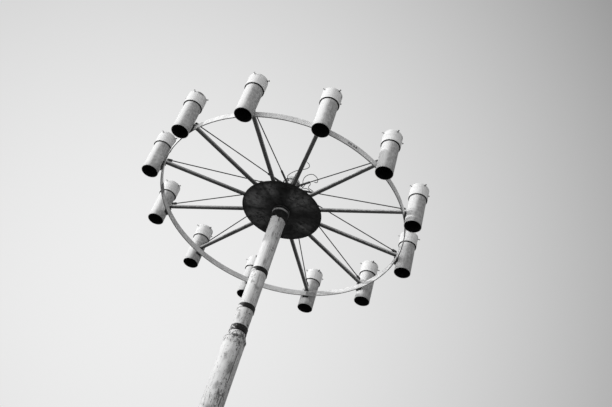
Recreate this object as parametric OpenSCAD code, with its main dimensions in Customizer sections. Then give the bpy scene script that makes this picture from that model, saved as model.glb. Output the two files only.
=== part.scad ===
// Ring-shaped street lamp: a stepped steel mast that carries a wheel of twelve
// downlight cans on tube spokes and rod stays. The lamps are gone and a few cut
// supply wires curl out of the mast head.
// Origin: centre of the base flange's underside, +Z up. Millimetres.

/* [Wheel] */
// Number of lamps, spokes and stays
lamp_count = 12; // [6:1:12]
// Radius of the circle on which the lamps stand
lamp_circle_r = 1500; // [1300:10:1900]
// Height of the open lamp mouths above the base
mouth_z = 7300; // [6000:50:9000]
// Height of the deck plane (hub plate top and rim bracket top) above the lamp mouths
deck_rise = 188; // [150:1:240]

/* [Rim] */
// Height of the flat bar that forms the rim
rim_h = 70; // [50:1:90]
// Thickness of the rim bar
rim_t = 10; // [6:1:14]
// Width of the saddle gap between the rim and a lamp can
saddle_t = 12; // [8:1:30]
// Directions of the three rim joints, degrees
rim_joints = [57, 165, 285];
// Open gap left at each rim joint
rim_gap = 4; // [2:1:10]
// Length of the splice plate behind each rim joint
splice_l = 130; // [90:5:200]
// Height of the splice plate
splice_h = 50; // [30:1:50]
// Thickness of the splice plate
splice_t = 8; // [5:1:12]
// Diameter of the splice bolt shanks
splice_bolt_d = 10; // [8:1:12]

/* [Lamp cans] */
// Outside diameter of a can
can_d = 184; // [150:1:220]
// Wall thickness of the can
can_wall = 2.5; // [2:0.5:5]
// Length of the can from its mouth to its closed top
can_l = 548; // [480:1:650]
// Height of the rolled bead round the mouth
bead_h = 7; // [5:0.5:12]
// How far the bead stands out from the can
bead_out = 1.5; // [1:0.5:4]
// Diameter of the lampholder inside the can
holder_d = 52; // [40:1:60]
// Length of the lampholder
holder_l = 78; // [60:1:110]
// Wall of the lampholder
holder_wall = 6; // [3:1:10]
// Width of the strap that carries the lampholder
strap_w = 34; // [25:1:50]
// Thickness of that strap
strap_t = 4; // [2:0.5:8]
// Height of the strap's underside above the mouth
strap_rise = 420; // [360:1:450]

/* [Lamp caps] */
// Gap between a can and the cap's inside
cap_gap = 9; // [8:0.5:20]
// Wall thickness of a cap
cap_wall = 2.5; // [2:0.5:4]
// Height of a cap
cap_h = 163; // [120:1:180]
// Gap between a can's closed top and the cap's inside
cap_top_gap = 10.5; // [5:0.5:30]
// Rounding of the cap's top edge
cap_round = 14; // [8:1:24]
// Number of clamp bolts round a cap
cap_bolts_n = 4; // [3:1:4]
// Diameter of the clamp bolts
cap_bolt_d = 8; // [6:1:10]
// Depth of the clamp bolts below the cap's top
cap_bolt_drop = 22; // [20:1:60]
// How far a clamp bolt stands out of the cap
cap_bolt_out = 24; // [15:1:40]
// Width of a clamp bolt's head across its flats
cap_head_w = 14; // [12:1:20]
// Thickness of that head
cap_head_t = 6; // [4:0.5:8]

/* [Spokes and hub] */
// Outside diameter of a spoke tube
spoke_d = 45; // [30:1:50]
// Wall thickness of a spoke tube
spoke_wall = 3; // [2:0.5:5]
// Radius at which the spokes begin on the hub plate
spoke_start_r = 140; // [125:5:300]
// Distance from a spoke's end to the can wall
spoke_end_gap = 8; // [4:1:20]
// Diameter of the hub plate
hub_d = 910; // [700:10:1100]
// Thickness of the hub plate
hub_t = 12; // [8:1:20]
// Wall of the sleeve that holds the hub plate up
sleeve_wall = 5; // [4:1:12]
// Length of that sleeve
sleeve_l = 152; // [110:1:200]
// Depth of the sleeve's raised ring below the plate's underside
sleeve_ring_drop = 36; // [10:1:50]
// Height of that ring
sleeve_ring_h = 34; // [20:1:50]
// How far the ring stands out at its top
sleeve_ring_out = 8; // [3:1:12]
// Width of the bracket plate across the end of a spoke
bracket_w = 56; // [50:1:110]
// Thickness of the bracket plate on the rim
bracket_t = 8; // [5:1:12]
// Reach of the bracket plate inward of the rim
bracket_in = 8; // [5:1:50]
// Width of the saddle between rim and can
saddle_w = 62; // [50:1:90]
// How far the saddle hangs below the rim
saddle_drop = 14; // [0:1:30]

/* [Stays] */
// Diameter of a stay rod
stay_d = 12; // [6:1:16]
// Depth of the stay collar's middle below the mast top
collar_drop = 118; // [100:1:200]
// Height of the stay collar's band
collar_h = 44; // [36:1:60]
// Radial thickness of the collar's band
collar_t = 8; // [6:1:12]
// Distance of the lug holes out from the upper tube
lug_out = 38; // [30:1:60]
// Distance from the outer lug holes out to the can wall
outer_lug_gap = 30; // [26:1:80]
// Thickness of the lugs
lug_t = 8; // [6:1:12]
// Height of an outer lug hole above the top of its spoke
outer_lug_rise = 22; // [20:1:40]
// Diameter of the fork pins
pin_d = 10; // [6:1:12]
// Steel left round the hole of a lug
lug_rim = 10; // [8:1:16]
// How far a fork cheek is set in from its lug's edge
cheek_inset = 3; // [1:1:5]
// Length of the fork at each end of a stay
fork_l = 46; // [36:1:60]
// Thickness of each fork cheek
fork_cheek = 5; // [4:1:8]
// Diameter of the turnbuckle near the mast
turnbuckle_d = 24; // [18:1:30]
// Length of the turnbuckle
turnbuckle_l = 150; // [100:5:200]
// Distance from the inner fork to the turnbuckle
turnbuckle_gap = 18; // [5:1:60]

/* [Mast] */
// Outside diameter of the lower tube
lower_d = 219.1; // [200:0.1:280]
// Wall of the lower tube
lower_wall = 8; // [6:0.5:12]
// Depth of the lower tube's top end below the lamp mouths
shoulder_drop = 1600; // [1550:10:2500]
// Height of the cone that joins the two tubes
cone_h = 80; // [50:5:150]
// Height of the straight skirt at the cone's foot
cone_skirt = 8; // [4:1:20]
// Outside diameter of the upper tube
upper_d = 168.3; // [140:0.1:190]
// Wall of the upper tube
upper_wall = 6; // [4:0.5:10]
// Height of the mast top above the lamp mouths
mast_rise = 640; // [600:1:800]
// Thickness of the bands round the upper tube
band_t = 4; // [3:1:8]
// How far a band's lower lip is turned out
band_lip = 2; // [1:0.5:4]
// Height of that lip
band_lip_h = 10; // [6:1:20]
// Heights of the bands' lower edges below the lamp mouths
band_drops = [1518, 1245, 765];
// Heights of the three bands
band_hs = [72, 58, 56];
// How far the mast top's lid stands out past the tube
lid_over = 14; // [8:1:30]
// Height of the lid
lid_h = 44; // [35:1:80]
// How far the lid's lip hangs below the mast top
lid_lip = 22; // [15:1:40]
// Wall thickness of the lip
lid_wall = 3; // [2:0.5:5]
// Width of the lid's sloping shoulder
lid_slope = 20; // [10:1:40]
// Height of that shoulder
lid_slope_h = 14; // [8:1:18]
// Rounding of the shoulder's outer edge
lid_edge = 5; // [2:1:8]
// Diameter of the wire glands in the mast top
gland_d = 18; // [14:1:24]
// How far a gland stands out of the tube
gland_out = 8; // [5:1:15]
// Height of the wire glands below the mast top
gland_drop = 48; // [40:1:60]
// Width of a gland's flange past its hole
gland_rim = 2; // [1:0.5:4]
// Thickness of a gland's flange on the tube
gland_flange_t = 5; // [3:1:10]

/* [Foot] */
// Diameter of the base flange
flange_d = 460; // [400:5:560]
// Thickness of the base flange
flange_t = 25; // [16:1:40]
// Diameter of the anchor bolt circle
bolt_circle_d = 380; // [340:5:460]
// Number of anchor bolts
anchor_n = 8; // [4:1:12]
// Diameter of the anchor bolt holes
anchor_hole_d = 27; // [18:1:33]
// Height of the foot ribs
rib_h = 150; // [80:5:250]
// Reach of the foot ribs along the flange
rib_w = 95; // [60:1:100]
// Thickness of the foot ribs
rib_t = 10; // [8:1:16]
// Width of the square tips of the foot ribs
rib_tip = 20; // [10:1:40]
// Diameter of the two cable holes through the base flange
cable_hole_d = 50; // [30:5:60]
// Distance of the cable holes from the mast axis
cable_hole_out = 55; // [45:1:60]
// Width of the door opening
door_w = 105; // [80:1:140]
// Height of the door opening
door_h = 400; // [300:5:600]
// Height of the door's lower edge above the base
door_z = 600; // [400:10:1200]
// Thickness of the door plate
door_t = 5; // [3:1:8]
// How far the door plate laps over its opening
door_lap = 16; // [10:1:25]
// Direction that the door faces, degrees
door_dir = 90; // [0:5:355]

/* [Fits] */
// Clearance between pieces that slide over or into one another
fit = 0.3; // [0.2:0.05:0.5]
// Diameter of the cut wires
wire_d = 8; // [6:0.5:10]

/* [Hidden] */
$fn = 72;
step_a = 360 / lamp_count;
can_r = can_d / 2;
rim_out_r = lamp_circle_r - can_r - saddle_t;
rim_in_r = rim_out_r - rim_t;
deck_z = mouth_z + deck_rise;
rim_top = deck_z - bracket_t;
saddle_h = bracket_t + rim_h + saddle_drop;
spoke_z = deck_z + spoke_d / 2;
spoke_end_r = lamp_circle_r - can_r - spoke_end_gap;
mast_top = mouth_z + mast_rise;
collar_z = mast_top - collar_drop;
lug_r = upper_d / 2 + lug_out;
outer_lug_r = lamp_circle_r - can_r - outer_lug_gap;
outer_lug_z = spoke_z + spoke_d / 2 + outer_lug_rise;
lower_top = mouth_z - shoulder_drop;
cone_top = lower_top + cone_h;
gland_z = mast_top - gland_drop;
gland_hole_d = gland_d - 2 * gland_rim;
cap_r = can_r + cap_gap + cap_wall;
cap_top = mouth_z + can_l + cap_top_gap + cap_wall;
bolt_z = cap_top - cap_bolt_drop;
bolt_hole_r = cap_bolt_d / 2 + fit;
cap_head_r = cap_head_w / 2 / cos(30);
lug_head_r = pin_d / 2 + lug_rim;
fork_half = lug_t / 2 + fit;
cheek_r = lug_head_r - cheek_inset;
// How far a cutter runs past what it cuts
over = 1;
// Chamfers of a band's, the sleeve's and a bead's turned edges
band_edge = 2;
sleeve_edge = 2;
bead_edge = 1;
// Places of the bolts along half a splice plate
splice_bolts = [-0.7, -0.3, 0.3, 0.7];
// How each cap happened to be turned when it was screwed down, degrees
cap_turns = [73, 0, 12, 77, 28, 48, 56, 66, 56, 24, 8, 10];
// Directions in which the wire glands face
gland_dirs = [234, 338, 356, 316];

// Routes of the cut wires, from a gland's face to the bare end, measured from
// the mast axis at the height of the lamp mouths
wire_routes = [
    [[-73, -99, 597], [-77, -104, 615], [-73, -100, 640], [-63, -93, 670], [-44, -86, 710],
     [0, -80, 776], [60, -73, 836], [106, -66, 884], [128, -61, 932], [118, -57, 974],
     [90, -54, 996]],
    [[117, -47, 599], [125, -49, 620], [122, -41, 662], [114, -34, 712], [119, -31, 772],
     [146, -31, 828], [188, -35, 862], [228, -40, 856], [262, -46, 822], [277, -52, 778],
     [270, -57, 742], [244, -61, 732]],
    [[126, -12, 596], [138, -28, 612], [147, -46, 640], [161, -57, 670], [180, -61, 694],
     [200, -62, 688], [205, -62, 664], [196, -61, 636], [202, -60, 608], [226, -60, 600],
     [256, -60, 592]],
    [[95, -84, 588], [113, -84, 578], [130, -76, 568], [151, -67, 570], [176, -61, 588],
     [204, -60, 585], [240, -60, 560]]
];

// ---- helpers ----

// A tube standing on z = 0
module tube(r, wall, h) {
    difference() {
        cylinder(r = r, h = h);
        translate([0, 0, -over]) cylinder(r = r - wall, h = h + 2 * over);
    }
}

// Children repeated at every lamp direction
module at_lamps() {
    for (n = [0:lamp_count - 1]) rotate(n * step_a) children();
}

// A cylinder along +X that starts at x
module rod_x(x, d, l) {
    translate([x, 0, 0]) rotate([0, 90, 0]) cylinder(d = d, h = l);
}

// Points of a smooth curve through a route, about one every gap
function along(p0, p1, p2, p3, t) =
    0.5 * (2 * p1 + (p2 - p0) * t + (2 * p0 - 5 * p1 + 4 * p2 - p3) * t * t
    + (3 * p1 - p0 - 3 * p2 + p3) * t * t * t);

function smooth(pts, gap) = let (last = len(pts) - 1) concat(
    [for (i = [0:last - 1]) let (
        p0 = i == 0 ? 2 * pts[0] - pts[1] : pts[i - 1],
        p3 = i == last - 1 ? 2 * pts[last] - pts[last - 1] : pts[i + 2],
        steps = max(1, round(norm(pts[i + 1] - pts[i]) / gap)))
        for (k = [0:steps - 1]) along(p0, pts[i], pts[i + 1], p3, k / steps)],
    [pts[last]]);

function unit(v) = v / norm(v);

// A round tube swept along points whose direction never turns to the Y axis
module swept_tube(pts, d, sides) {
    last = len(pts) - 1;
    rings = [for (i = [0:last]) let (
        way = unit(pts[min(i + 1, last)] - pts[max(i - 1, 0)]),
        side = unit(cross([0, 1, 0], way)),
        up = cross(way, side))
        for (k = [0:sides - 1]) let (a = 360 * k / sides)
            pts[i] + d / 2 * (cos(a) * side + sin(a) * up)];
    faces = concat(
        [[for (k = [sides - 1:-1:0]) k]],
        [for (i = [0:last - 1], k = [0:sides - 1]) let (
            a = i * sides + k, b = i * sides + (k + 1) % sides)
            [a, b, b + sides, a + sides]],
        [[for (k = [0:sides - 1]) last * sides + k]]);
    polyhedron(points = rings, faces = faces, convexity = 6);
}

// ---- foot ----

module base_flange() {
    color("dimgray") difference() {
        cylinder(d = flange_d, h = flange_t);
        for (side = [-1, 1]) translate([side * cable_hole_out, 0, -over])
            cylinder(d = cable_hole_d, h = flange_t + 2 * over);
        for (n = [0:anchor_n - 1]) rotate((n + 0.5) * 360 / anchor_n)
            translate([bolt_circle_d / 2, 0, -over])
                cylinder(d = anchor_hole_d, h = flange_t + 2 * over);
    }
}

// Triangular ribs between the tube and the flange, one between each pair of bolts
module foot_ribs() {
    r = lower_d / 2;
    color("gainsboro") for (n = [0:anchor_n - 1]) rotate(n * 360 / anchor_n)
        difference() {
            translate([0, rib_t / 2, flange_t]) rotate([90, 0, 0])
                linear_extrude(rib_t) polygon([
                    [r - rib_t, 0], [r + rib_w, 0], [r + rib_w, rib_tip],
                    [r + rib_tip, rib_h], [r - rib_t, rib_h]]);
            translate([0, 0, flange_t - over]) cylinder(r = r, h = rib_h + 2 * over);
        }
}

// ---- mast ----

// Round-ended outline of the door opening, grown by a margin
module door_outline(margin) {
    r = door_w / 2 + margin;
    union() {
        translate([0, r - margin]) circle(r = r);
        translate([0, door_h - r + margin]) circle(r = r);
        translate([-r, r - margin]) square([2 * r, door_h - 2 * (r - margin)]);
    }
}

module lower_tube() {
    color("gainsboro") difference() {
        translate([0, 0, flange_t]) tube(lower_d / 2, lower_wall, lower_top - flange_t);
        rotate(door_dir) translate([0, 0, door_z]) rotate([90, 0, 90])
            linear_extrude(lower_d) door_outline(0);
    }
}

module access_door() {
    r = lower_d / 2 + fit;
    color("silver") intersection() {
        translate([0, 0, door_z - door_h / 2]) tube(r + door_t, door_t, 2 * door_h);
        rotate(door_dir) translate([0, 0, door_z]) rotate([90, 0, 90])
            linear_extrude(lower_d) door_outline(door_lap);
    }
}

module cone() {
    color("gainsboro") rotate_extrude() polygon([
        [lower_d / 2 - lower_wall, lower_top], [lower_d / 2, lower_top],
        [lower_d / 2, lower_top + cone_skirt], [upper_d / 2, cone_top],
        [upper_d / 2 - upper_wall, cone_top],
        [lower_d / 2 - lower_wall, lower_top + cone_skirt]]);
}

module upper_tube() {
    color("whitesmoke") difference() {
        translate([0, 0, cone_top]) tube(upper_d / 2, upper_wall, mast_top - cone_top);
        for (a = gland_dirs) rotate(a) translate([0, 0, gland_z])
            rod_x(0, gland_hole_d, upper_d);
    }
}

// Clamp bands round the upper tube, each with a turned-out lower lip
module mast_bands() {
    r = upper_d / 2 + fit;
    body = r + band_t;
    lip = body + band_lip;
    color("dimgray") for (i = [0:2]) translate([0, 0, mouth_z - band_drops[i]])
        rotate_extrude() polygon([
            [r, 0], [lip - band_edge, 0], [lip, band_edge], [lip, band_lip_h],
            [body, band_lip_h + band_lip], [body, band_hs[i] - 2 * band_edge],
            [body - band_edge, band_hs[i]], [r, band_hs[i]]]);
}

// ---- hub ----

// The sleeve under the hub plate, with a raised ring round it
module hub_sleeve() {
    r = upper_d / 2 + fit;
    wall_r = r + sleeve_wall;
    z1 = deck_z - hub_t;
    z0 = z1 - sleeve_l;
    ring_z = z1 - sleeve_ring_drop;
    ring_r = wall_r + sleeve_ring_out;
    color("dimgray") rotate_extrude() polygon([
        [r, z0], [wall_r - sleeve_edge, z0], [wall_r, z0 + sleeve_edge],
        [wall_r, ring_z - sleeve_ring_h], [ring_r, ring_z - 2 * sleeve_edge],
        [ring_r, ring_z], [wall_r, ring_z + sleeve_edge], [wall_r, z1], [r, z1]]);
}

module hub_plate() {
    color("#202020") translate([0, 0, deck_z - hub_t]) difference() {
        cylinder(d = hub_d, h = hub_t, $fn = 96);
        translate([0, 0, -over]) cylinder(r = upper_d / 2 + fit, h = hub_t + 2 * over);
    }
}

// A band round the mast with one standing lug for each stay
module stay_collar() {
    r = upper_d / 2 + fit;
    color("dimgray") difference() {
        union() {
            translate([0, 0, collar_z - collar_h / 2]) cylinder(r = r + collar_t, h = collar_h);
            translate([0, 0, collar_z]) at_lamps() {
                translate([r, -lug_t / 2, -lug_head_r])
                    cube([lug_r - r, lug_t, 2 * lug_head_r]);
                translate([lug_r, lug_t / 2, 0]) rotate([90, 0, 0])
                    cylinder(r = lug_head_r, h = lug_t);
            }
        }
        translate([0, 0, collar_z - collar_h]) cylinder(r = r, h = 2 * collar_h);
        translate([0, 0, collar_z]) at_lamps() translate([lug_r, lug_t, 0])
            rotate([90, 0, 0]) cylinder(d = pin_d + 2 * fit, h = 2 * lug_t);
    }
}

// The lid on the mast's open end, with a lip that hangs over the tube
module mast_lid() {
    r = upper_d / 2 + lid_over;
    z0 = mast_top - lid_lip;
    z1 = z0 + lid_h;
    soffit = mast_top - lid_wall - 1;
    color("whitesmoke") rotate_extrude() difference() {
        polygon([[0, z0], [r, z0], [r, z1 - lid_slope_h],
                 [r - lid_edge, z1 - lid_edge], [r - lid_slope, z1], [0, z1]]);
        polygon([[0, z0 - over], [r - lid_wall, z0 - over], [r - lid_wall, soffit],
                 [upper_d / 2 + 2 * over, mast_top], [0, mast_top]]);
    }
}

// Round rubber glands that close the wire holes
module wire_glands() {
    seat_r = upper_d / 2;
    body_d = gland_hole_d - 2 * fit;
    color("#181818") for (a = gland_dirs) rotate(a) translate([0, 0, gland_z])
        difference() {
            union() {
                rod_x(seat_r - 2 * upper_wall, body_d, 2 * upper_wall + gland_out);
                rod_x(seat_r - upper_wall / 2, gland_d, upper_wall / 2 + gland_flange_t);
            }
            intersection() {
                translate([0, 0, -gland_d]) cylinder(r = seat_r + fit, h = 2 * gland_d);
                difference() {
                    rod_x(0, gland_d + 2 * over, seat_r + gland_out);
                    rod_x(-over, body_d, seat_r + gland_out + 2 * over);
                }
            }
        }
}

// ---- spokes, rim and brackets ----

// One spoke: a closed tube with a standing lug for its stay near the outer end
module spoke() {
    lug_base = spoke_d / 2 - spoke_wall;
    difference() {
        union() {
            rod_x(spoke_start_r, spoke_d, spoke_end_r - spoke_start_r);
            translate([outer_lug_r - lug_head_r, -lug_t / 2, lug_base])
                cube([2 * lug_head_r, lug_t, spoke_d / 2 + outer_lug_rise - lug_base]);
            translate([outer_lug_r, lug_t / 2, spoke_d / 2 + outer_lug_rise])
                rotate([90, 0, 0]) cylinder(r = lug_head_r, h = lug_t);
        }
        rod_x(spoke_start_r - over, spoke_d - 2 * spoke_wall,
              spoke_end_r - spoke_start_r - spoke_wall + over);
        translate([outer_lug_r, lug_t, spoke_d / 2 + outer_lug_rise])
            rotate([90, 0, 0]) cylinder(d = pin_d + 2 * fit, h = 2 * lug_t);
    }
}

module spokes() {
    color("#303030") translate([0, 0, spoke_z]) at_lamps() spoke();
}

// The fork at a stay's end: two cheeks and a pin, with its eye at the origin
// and the rod leaving along +X
module fork() {
    bridge_x = lug_head_r + fork_cheek;
    for (side = [-1, 1]) translate([0, side * (fork_half + fork_cheek / 2), 0]) {
        rotate([90, 0, 0]) cylinder(r = cheek_r, h = fork_cheek, center = true);
        translate([0, -fork_cheek / 2, -cheek_r]) cube([fork_l, fork_cheek, 2 * cheek_r]);
    }
    rotate([90, 0, 0]) cylinder(d = pin_d, h = 2 * (fork_half + over), center = true);
    translate([bridge_x, -fork_half - over, -cheek_r])
        cube([fork_l - bridge_x, 2 * (fork_half + over), 2 * cheek_r]);
}

// One stay from its collar lug down to its spoke lug
module stay() {
    run = outer_lug_r - lug_r;
    drop = collar_z - outer_lug_z;
    length = norm([run, drop]);
    rod_start = fork_l - fork_cheek;
    translate([lug_r, 0, collar_z]) rotate([0, atan2(drop, run), 0]) {
        fork();
        translate([length, 0, 0]) rotate(180) fork();
        rod_x(rod_start, stay_d, length - 2 * rod_start);
        rod_x(fork_l + turnbuckle_gap, turnbuckle_d, turnbuckle_l);
    }
}

module stays() {
    color("#404040") at_lamps() stay();
}

// The rim's flat bar between two joint directions
module rim_segment(n) {
    from = rim_joints[n - 1];
    to = rim_joints[n % len(rim_joints)] + (n == len(rim_joints) ? 360 : 0);
    half_gap = rim_gap / 2 / rim_out_r * 180 / PI;
    color("silver") rotate(from + half_gap) translate([0, 0, rim_top - rim_h])
        rotate_extrude(angle = to - from - 2 * half_gap, $fn = 180)
            translate([rim_in_r, 0]) square([rim_t, rim_h]);
}

// Curved plates inside the rim joints, each with four bolts
module rim_splices() {
    r = rim_in_r - fit;
    half_a = splice_l / 2 / r * 180 / PI;
    color("gray") for (a = rim_joints) rotate(a) translate([0, 0, rim_top - rim_h / 2])
        difference() {
            rotate(-half_a) translate([0, 0, -splice_h / 2])
                rotate_extrude(angle = 2 * half_a, $fn = 180)
                    translate([r - splice_t, 0]) square([splice_t, splice_h]);
            for (s = splice_bolts) rotate(s * half_a)
                rod_x(r - 2 * splice_t, splice_bolt_d, 3 * splice_t);
        }
}

// A plate on the rim's top edge and a saddle that fills the gap to the can
module lamp_brackets() {
    inner_r = rim_in_r - bracket_in;
    color("#282828") at_lamps() difference() {
        union() {
            translate([inner_r, -bracket_w / 2, rim_top])
                cube([lamp_circle_r - inner_r, bracket_w, bracket_t]);
            translate([rim_out_r + fit, -saddle_w / 2, deck_z - saddle_h])
                cube([can_r, saddle_w, saddle_h]);
        }
        translate([lamp_circle_r, 0, deck_z - saddle_h - over])
            cylinder(r = can_r + fit, h = saddle_h + 2 * over);
        translate([lamp_circle_r, -bracket_w, deck_z - saddle_h - over])
            cube([can_d, 2 * bracket_w, saddle_h + 2 * over]);
    }
}

// ---- lamps ----

// A can with a rolled bead round its open mouth and a closed top
module lamp_can(n) {
    bead_r = can_r + bead_out;
    in_r = can_r - can_wall;
    color("whitesmoke") rotate((n - 1) * step_a)
        translate([lamp_circle_r, 0, mouth_z]) rotate_extrude() polygon([
            [in_r, 0], [bead_r - bead_edge, 0], [bead_r, bead_edge],
            [bead_r, bead_h - bead_edge], [can_r, bead_h + bead_edge], [can_r, can_l],
            [0, can_l], [0, can_l - can_wall], [in_r, can_l - can_wall]]);
}

// A strap across each can with the empty lampholder below it
module lamp_holders() {
    in_r = can_r - can_wall - fit;
    color("#383838") at_lamps() translate([lamp_circle_r, 0, mouth_z + strap_rise])
        difference() {
            union() {
                intersection() {
                    translate([-in_r, -strap_w / 2, 0]) cube([2 * in_r, strap_w, strap_t]);
                    cylinder(r = in_r, h = strap_t);
                }
                translate([0, 0, -holder_l]) cylinder(d = holder_d, h = holder_l);
            }
            translate([0, 0, -holder_l - over])
                cylinder(d = holder_d - 2 * holder_wall, h = holder_l - 2 * holder_wall);
        }
}

// A deep lid over the can's top, with clearance holes for its clamp bolts
module lamp_cap(n) {
    z0 = cap_top - cap_h;
    mid_r = cap_r - cap_round;
    inner_round = cap_round - cap_wall;
    color("white") rotate((n - 1) * step_a) translate([lamp_circle_r, 0, 0]) difference() {
        rotate_extrude() difference() {
            union() {
                translate([0, z0]) square([cap_r, cap_h - cap_round]);
                translate([0, z0]) square([mid_r, cap_h]);
                translate([mid_r, cap_top - cap_round]) intersection() {
                    circle(r = cap_round);
                    square(cap_round);
                }
            }
            union() {
                translate([0, z0 - over])
                    square([cap_r - cap_wall, cap_h - cap_round + over]);
                translate([0, z0 - over]) square([mid_r, cap_h - cap_wall + over]);
                translate([mid_r, cap_top - cap_round]) intersection() {
                    circle(r = inner_round);
                    square(inner_round);
                }
            }
        }
        rotate(cap_turns[n - 1] - (n - 1) * step_a) for (k = [0:cap_bolts_n - 1])
            rotate(k * 360 / cap_bolts_n) translate([0, 0, bolt_z])
                rod_x(0, 2 * bolt_hole_r, 2 * cap_r);
    }
}

// Clamp bolts: each bears on the can and carries the cap on its shank
module cap_bolts() {
    start = can_r + fit;
    color("#303030") for (n = [1:lamp_count]) rotate((n - 1) * step_a)
        translate([lamp_circle_r, 0, bolt_z]) rotate(cap_turns[n - 1] - (n - 1) * step_a)
            for (k = [0:cap_bolts_n - 1]) rotate(k * 360 / cap_bolts_n) {
                rod_x(start, cap_bolt_d, cap_r - start + cap_bolt_out);
                translate([cap_r + cap_bolt_out - cap_head_t, 0, 0]) rotate([0, 90, 0])
                    cylinder(r = cap_head_r, h = cap_head_t, $fn = 6);
            }
}

// ---- wires ----

// One cut wire, from the face of its gland to its bare end
module wire(n) {
    a = gland_dirs[n - 1];
    face_r = upper_d / 2 + gland_out + fit;
    face = [face_r * cos(a), face_r * sin(a), gland_z - mouth_z];
    straight = face + 2 * wire_d * [cos(a), sin(a), 0];
    color("#141414") translate([0, 0, mouth_z])
        swept_tube(smooth(concat([face, straight], wire_routes[n - 1]), 3 * wire_d),
                   wire_d, 8);
}

base_flange();
foot_ribs();
lower_tube();
access_door();
cone();
upper_tube();
mast_bands();
hub_sleeve();
hub_plate();
stay_collar();
mast_lid();
wire_glands();
spokes();
stays();
rim_segment(1);  // rim_segment_1
rim_segment(2);  // rim_segment_2
rim_segment(3);  // rim_segment_3
rim_splices();
lamp_brackets();
lamp_holders();
cap_bolts();
for (n = [1:lamp_count]) lamp_can(n);
for (n = [1:lamp_count]) lamp_cap(n);
for (n = [1:len(wire_routes)]) wire(n);
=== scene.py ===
"""Ring-shaped street lamp: the finishes, the small fittings and the setting.

The frame holds every structural part at its real size. This script gives each of them a
worn finish, some with painted sunlight and painted shade, adds the bolts, nuts, pins,
welds and paint flakes that the frame leaves out, replaces the four cut wires with finely
swept ones, and sets the floor, sun and sky.
"""
import math
import random

import bmesh
import bpy
from mathutils import Matrix, Vector


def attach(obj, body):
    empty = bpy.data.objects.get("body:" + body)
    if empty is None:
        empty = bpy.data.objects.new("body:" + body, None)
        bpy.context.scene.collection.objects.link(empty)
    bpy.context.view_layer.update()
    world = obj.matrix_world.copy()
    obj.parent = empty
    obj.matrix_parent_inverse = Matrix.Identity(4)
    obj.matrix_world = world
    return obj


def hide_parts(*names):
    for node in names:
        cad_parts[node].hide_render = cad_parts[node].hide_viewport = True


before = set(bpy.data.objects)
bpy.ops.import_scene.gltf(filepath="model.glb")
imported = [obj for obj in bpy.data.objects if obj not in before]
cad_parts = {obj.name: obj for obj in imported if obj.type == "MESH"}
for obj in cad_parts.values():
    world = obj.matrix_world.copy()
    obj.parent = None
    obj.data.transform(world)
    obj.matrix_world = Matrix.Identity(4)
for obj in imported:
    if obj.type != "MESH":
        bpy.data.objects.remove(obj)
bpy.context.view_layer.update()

# ---- sizes shared with the frame, in metres ----
MOUTH_Z = 7.300          # open mouths of the lamp cans
LAMP_CIRCLE_R = 1.500    # circle on which the cans stand
LAMP_COUNT = 12
LAMP_STEP = 360 / LAMP_COUNT
CAN_R = 0.092
CAN_LENGTH = 0.548
CAP_R = 0.1035
UNDER_CAP = 0.398        # a cap's lip above the lamp mouths
CAP_BOLT_Z = 7.839
CAP_BOLTS = 4
CAP_TURNS = (73, 0, 12, 77, 28, 48, 56, 66, 56, 24, 8, 10)
UPPER_R = 0.08415        # upper mast tube
LOWER_R = 0.10955        # lower mast tube
SHOULDER_Z = 5.700       # where the lower tube meets the cone
DECK_Z = 7.488           # top of the hub plate and of the rim brackets
HUB_UNDER_Z = 7.476
SLEEVE_R = 0.08945
SPOKE_R = 0.0225
SPOKE_Z = DECK_Z + SPOKE_R
SPOKE_END_R = 1.400
RIM_OUT_R = 1.396
RIM_MID_Z = 7.445
SADDLE_LOW_Z = 7.396
SADDLE_W = 0.062
SPLICE_IN_R = 1.3777
SPLICE_TURNS = (57, 165, 285)
SPLICE_HALF = 2.688      # half of a splice plate's spread, degrees
SPLICE_BOLTS = (-0.7, -0.3, 0.3, 0.7)
COLLAR_Z = 7.822
INNER_EYE_R = 0.12215    # stay eyes on the collar
OUTER_EYE_R = 1.378      # stay eyes on the spokes
OUTER_EYE_Z = 7.555
FORK_HALF_W = 0.0093     # outside faces of a stay's fork
TURNBUCKLE_FROM = 0.064  # from the collar eye
TURNBUCKLE_TO = 0.214
FLANGE_TOP_Z = 0.025
ANCHOR_R = 0.190
ANCHOR_COUNT = 8
RIB_H = 0.150
RIB_W = 0.095
RIB_T = 0.010
DOOR_FACE_Y = 0.1145
DOOR_LOW_Z = 0.600
DOOR_HIGH_Z = 1.000


# ---- places and turns ----
def around(radius, degrees, height):
    """A point at a distance from the mast's axis, a direction and a height."""
    turn = math.radians(degrees)
    return Vector((radius * math.cos(turn), radius * math.sin(turn), height))


def turn_by(degrees, axis="Z"):
    return Matrix.Rotation(math.radians(degrees), 4, axis)


def aimed(spot, axis, spin=0):
    """A place at a spot, with +Z along an axis and turned about it."""
    return Matrix.Translation(spot) @ axis.to_track_quat("Z", "Y").to_matrix().to_4x4() @ turn_by(spin)


def facing(radius, degrees, height, spin=0):
    """A place on a round wall, with +Z pointing out of it."""
    way = around(1, degrees, 0)
    return aimed(way * radius + Vector((0, 0, height)), way, spin)


def lamp_turns():
    return [turn_by(n * LAMP_STEP) for n in range(LAMP_COUNT)]


def added(name, data):
    """A new object in the scene."""
    made = bpy.data.objects.new(name, data)
    bpy.context.scene.collection.objects.link(made)
    return made


# ---- camera ----
CAMERA_PLACE = (-0.398, -6.628, 1.596)
CAMERA_HEADING = -5.445  # degrees off +Y
CAMERA_RISE = 42.638     # degrees above level
CAMERA_ROLL = 18.41
CAMERA_LENS = 46.7       # mm, on a sensor 36 mm wide


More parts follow.
